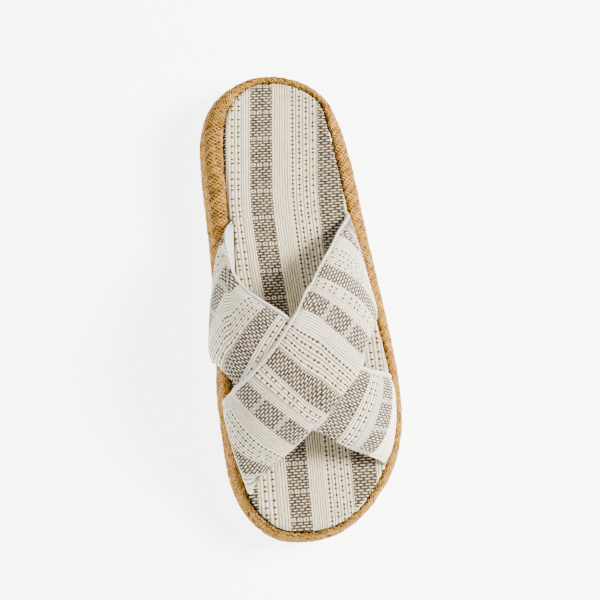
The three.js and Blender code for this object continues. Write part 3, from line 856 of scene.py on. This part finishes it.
def strap_uv(strap, points):
    """Length along the strap's middle line and distance across it, for a coarse grid of points."""
    a = np.linspace(0, 1, 400)
    line, _ = strap_face(strap, False, a, 0 * a + 0.5)
    way = unit(np.gradient(line, axis=0))
    far = np.concatenate([[0], np.cumsum(np.linalg.norm(np.diff(line, axis=0), axis=1))])
    flat = points.reshape(-1, 3)
    ahead = ((flat[:, None] - line[None]) * way[None]).sum(-1)
    apart = np.linalg.norm(flat[:, None] - line[None], axis=-1)
    cross = ahead[:, :-1] * ahead[:, 1:] <= 0
    score = np.where(cross, apart[:, :-1], 1e6)
    k = score.argmin(1)
    rows = np.arange(len(flat))
    found = score[rows, k] < 1e5
    w = ahead[rows, k] / (ahead[rows, k] - ahead[rows, k + 1] + 1e-9)
    first = np.abs(ahead[:, 0]) < np.abs(ahead[:, -1])
    beyond = np.where(first, ahead[:, 0], far[-1] + ahead[:, -1])
    length = np.where(found, far[k] + w * (far[k + 1] - far[k]), beyond)
    outside = np.where(first[:, None], line[0] + ahead[:, :1] * way[0], line[-1] + ahead[:, -1:] * way[-1])
    spot = np.where(found[:, None], line[k] + w[:, None] * (line[k + 1] - line[k]), outside)
    t = np.linalg.norm(flat - spot, axis=1) * np.sign(flat[:, 1] - spot[:, 1])
    return evened(np.stack([length, t], -1).reshape(*points.shape[:2], 2))


def evened(grid):
    """The grid's values drawn even along its rows and columns, with its corners kept."""
    grid = grid.copy()
    for _ in range(14):
        grid[1:-1] = (grid[:-2] + 2 * grid[1:-1] + grid[2:]) / 4
        grid[:, 1:-1] = (grid[:, :-2] + 2 * grid[:, 1:-1] + grid[:, 2:]) / 4
    return grid


def resample(grid, rows, columns):
    """Grid of values read at finer rows and columns."""
    i = np.linspace(0, grid.shape[0] - 1, rows)
    j = np.linspace(0, grid.shape[1] - 1, columns)
    a, b = np.minimum(i.astype(int), grid.shape[0] - 2), np.minimum(j.astype(int), grid.shape[1] - 2)
    fa, fb = (i - a)[:, None, None], (j - b)[None, :, None]
    top = grid[np.ix_(a, b)] * (1 - fb) + grid[np.ix_(a, b + 1)] * fb
    bottom = grid[np.ix_(a + 1, b)] * (1 - fb) + grid[np.ix_(a + 1, b + 1)] * fb
    return top * (1 - fa) + bottom * fa


# Cloth folded under the straps' front edge, and the roll of the lining at their rear edge
HEM = 4
ROLL_RADIUS = 1.7
# Share of the width that gives the way past an edge
EDGE_STEP = 0.01
# Skew of the stripes on the over strap: length along the strap, slope
SKEW = np.array([(30, 0.10), (51, 0.03), (63, -0.14), (76, -0.15), (99, -0.065), (130, 0.0)])


def even_grid(rows, columns):
    """Places from 0 to 1 along the rows and along the columns of a grid."""
    return (np.linspace(0, 1, rows)[:, None] + np.zeros((1, columns)),
            np.zeros((rows, 1)) + np.linspace(0, 1, columns)[None])


def tucked(rows):
    """Rows with one more at each end, let down beside the footbed."""
    down = np.array([0, 0, -STRAP_TUCK])
    return np.concatenate([rows[:1] + down, rows, rows[-1:] + down])


def make_strap_cloth(name, points, out, forward, top, uv, plain):
    """Cloth over the strap, with its front edge rounded under and its ends tucked down."""
    r = STRAP_THICKNESS / 2
    edge = []
    for turn in (30, 60, 90, 120, 150, 180):
        angle = math.radians(90 - turn)
        edge.append(points[:, -1] + out[:, -1] * (r * (math.sin(angle) - 1) - 0.25)
                    + forward * (r * math.cos(angle)))
    under = points[:, -1] - out[:, -1] * (2 * r + 0.1) - forward * HEM
    shell = np.concatenate([top, np.stack(edge, 1), under[:, None]], 1)
    extra = np.array([0.8, 1.6, 2.4, 3.2, 4.0, 4.8, 9.0])
    edge_uv = uv[:, -1:] + extra[None, :, None] * np.array([0, 1.0])
    shell_uv = np.concatenate([uv, edge_uv], 1)
    shell_plain = np.concatenate([plain, np.repeat(plain[:, -1:], len(extra), 1)], 1)
    onward = np.array([STRAP_TUCK, 0])
    shell_uv = np.concatenate([shell_uv[:1] - onward, shell_uv, shell_uv[-1:] + onward])
    shell_plain = np.concatenate([shell_plain[:1] * 0 + 1, shell_plain, shell_plain[-1:] * 0 + 1])
    piece = grid_mesh(name + "_cloth", tucked(shell), CLOTH, "strap_fabric", shell_uv, flip=True,
                      plain=shell_plain)


def make_strap_lining(name, points, out, forward):
    """Lining under the strap, up to its front edge."""
    depth = STRAP_THICKNESS - 0.05
    inner = (points - out * depth)[:, ::4]
    last = points[:, -1:] - out[:, -1:] * depth + forward[:, None] * 0.4
    inner = np.concatenate([inner, last], 1)[::2]
    grid_mesh(name + "_lining", tucked(inner), LINING, "strap_fabric")


def make_rolled_edge(name, points, out, back, around):
    """Roll of the lining along the strap's rear edge, thinner toward its ends."""
    centre = points[:, 0] - out[:, 0] * (STRAP_THICKNESS / 2 - 0.05) - back * 0.9
    turns = np.linspace(0, 2 * math.pi, 17)[:-1]
    wobble = 1 + 0.03 * value_noise((len(points), 1), (60, 1), 9)
    fade = 0.5 + 0.5 * smooth(0, 0.1, around[:, :1]) * smooth(1, 0.9, around[:, :1])
    ring = out[:, :1] * np.cos(turns)[None, :, None] + back[:, None] * np.sin(turns)[None, :, None]
    roll = centre[:, None] + ring * (ROLL_RADIUS * wobble * fade)[..., None]
    roll = np.concatenate([roll, roll[:, :1]], 1)[::2]
    grid_mesh(name + "_rolled_edge", tucked(roll), LINING, "strap_fabric")


def make_strap(name, strap, lifted, to_pattern, plain_of):
    """One strap; its rows run around the foot and its columns from back to front."""
    rows, columns = 430, 150
    around, across = even_grid(rows, columns)
    points, out = strap_face(strap, lifted, around, across)
    coarse, _ = strap_face(strap, False, *even_grid(87, 31))
    lengths = resample(strap_uv(strap, coarse), rows, columns)
    along, aside = lengths[..., 0], lengths[..., 1]
    u = to_pattern(along, aside)
    uv = np.stack([u, aside], -1)
    plain = plain_of(around, along)
    width = np.linalg.norm(np.diff(points, axis=1), axis=-1).sum(1)[:, None]
    from_edge = np.minimum(across, 1 - across) * width
    puff = 0.7 * smooth(0, 7, from_edge) - 0.5 * (1 - smooth(0, 2.6, from_edge))
    puff = puff * smooth(0.0, 0.06, around) * smooth(1.0, 0.94, around)
    relief = (rib_height(u, aside, True) - RIB_LEVEL) * RIB_RELIEF * (1 - plain)
    top = points + out * (puff + relief)[..., None]
    front, _ = strap_face(strap, lifted, around[:, -1], across[:, -1])
    behind, _ = strap_face(strap, lifted, around[:, -1], across[:, -1] - EDGE_STEP)
    forward = unit(front - behind)
    ahead, _ = strap_face(strap, lifted, around[:, 0], across[:, 0] + EDGE_STEP)
    make_strap_cloth(name, points, out, forward, top, uv, plain)
    make_strap_lining(name, points, out, forward)
    make_rolled_edge(name, points, out, unit(ahead - points[:, 0]), around)


# Where the pattern lies on the straps, in mm along them
OVER_FIRST_STRIPE = 13.2
OVER_MIDDLE = 99
OVER_STRETCH = 1.01
UNDER_FIRST_STRIPE = 20.8
# Where the plain end bands fade in: share around the foot, and mm along the strap
OVER_BAND = (0.085, 0.075)
UNDER_BAND = (158.6, 159.2)


def over_pattern(length, across):
    return OVER_FIRST_STRIPE + (OVER_MIDDLE - (length - read(SKEW, 1, length) * across)) * OVER_STRETCH


def over_plain(around, length):
    return smooth(*OVER_BAND, around)


def under_pattern(length, across):
    return length - UNDER_FIRST_STRIPE


def under_plain(around, length):
    return smooth(*UNDER_BAND, length)


FLOOR_LIGHT = 4.6
WORLD_COLOUR = (1, 0.97, 0.92, 1)
WORLD_LIGHT = 0.95
LAMP_COLOUR = (1, 0.96, 0.90)
# Camera in metres, and its lean to the medial side, lean to the toe and roll in degrees
CAMERA_AIM = Vector((0.0, 0.0, 0.035))
CAMERA_DISTANCE = 1.1
CAMERA_ANGLES = (6.5, 10.0, 5.3)
CAMERA_LENS = 120


def make_floor():
    """Pale floor with a little light of its own, near the photo's white ground."""
    size = 3.0
    mesh = bpy.data.meshes.new("floor")
    corners = [(-size, -size, 0), (size, -size, 0), (size, size, 0), (-size, size, 0)]
    mesh.from_pydata(corners, [], [(0, 1, 2, 3)])
    material, _, shader = new_material("floor", 0.9)
    shader.inputs["Base Color"].default_value = (0.95, 0.97, 1.0, 1)
    shader.inputs["Emission Color"].default_value = (1, 1, 1, 1)
    shader.inputs["Emission Strength"].default_value = FLOOR_LIGHT
    mesh.materials.append(material)
    floor_piece = bpy.data.objects.new("floor", mesh)
    bpy.context.scene.collection.objects.link(floor_piece)


def make_camera():
    """Camera that looks down at the slipper, toe toward the bottom and a little to the right."""
    lean_medial, lean_toe, roll = (math.radians(angle) for angle in CAMERA_ANGLES)
    away = Vector((math.sin(lean_medial), math.sin(lean_toe), 0))
    away.z = math.sqrt(1 - away.length_squared)
    toe = Vector((0, 1, 0))
    toe = (toe - away * toe.dot(away)).normalized()
    lateral = Vector((-1, 0, 0))
    lateral = (lateral - away * lateral.dot(away) - toe * lateral.dot(toe)).normalized()
    down = toe * math.cos(roll) - lateral * math.sin(roll)
    right = lateral * math.cos(roll) + toe * math.sin(roll)
    data = bpy.data.cameras.new("camera")
    data.lens = CAMERA_LENS
    camera = bpy.data.objects.new("camera", data)
    turn = Matrix((right, -down, away)).transposed()
    camera.matrix_world = Matrix.Translation(CAMERA_AIM + away * CAMERA_DISTANCE) @ turn.to_4x4()
    bpy.context.scene.collection.objects.link(camera)
    bpy.context.scene.camera = camera
    return right, -down, away


def make_lights(right, up, away):
    """Pale surroundings, a key light from the image's right and a weak fill light from its left."""
    world = bpy.data.worlds.new("studio")
    bpy.context.scene.world = world
    world.use_nodes = True
    background = world.node_tree.nodes["Background"]
    background.inputs[0].default_value = WORLD_COLOUR
    background.inputs[1].default_value = WORLD_LIGHT
    lamps = (("key", right * 1.5 + up * 0.45 + away * 1.15, 175, 0.7),
             ("fill", right * -1.2 - up * 0.3 + away * 1.4, 10, 1.6))
    for name, place, power, size in lamps:
        data = bpy.data.lights.new(name, "AREA")
        data.energy = power
        data.size = size
        data.color = LAMP_COLOUR
        lamp = bpy.data.objects.new(name, data)
        lamp.location = place
        lamp.rotation_mode = "QUATERNION"
        lamp.rotation_quaternion = (-place).to_track_quat("-Z", "Y")
        bpy.context.scene.collection.objects.link(lamp)


make_floor()
make_lights(*make_camera())
make_wrap()
make_outsole()
make_footbed()
make_strap("under_strap", UNDER_STRAP, False, under_pattern, under_plain)
make_strap("over_strap", OVER_STRAP, True, over_pattern, over_plain)
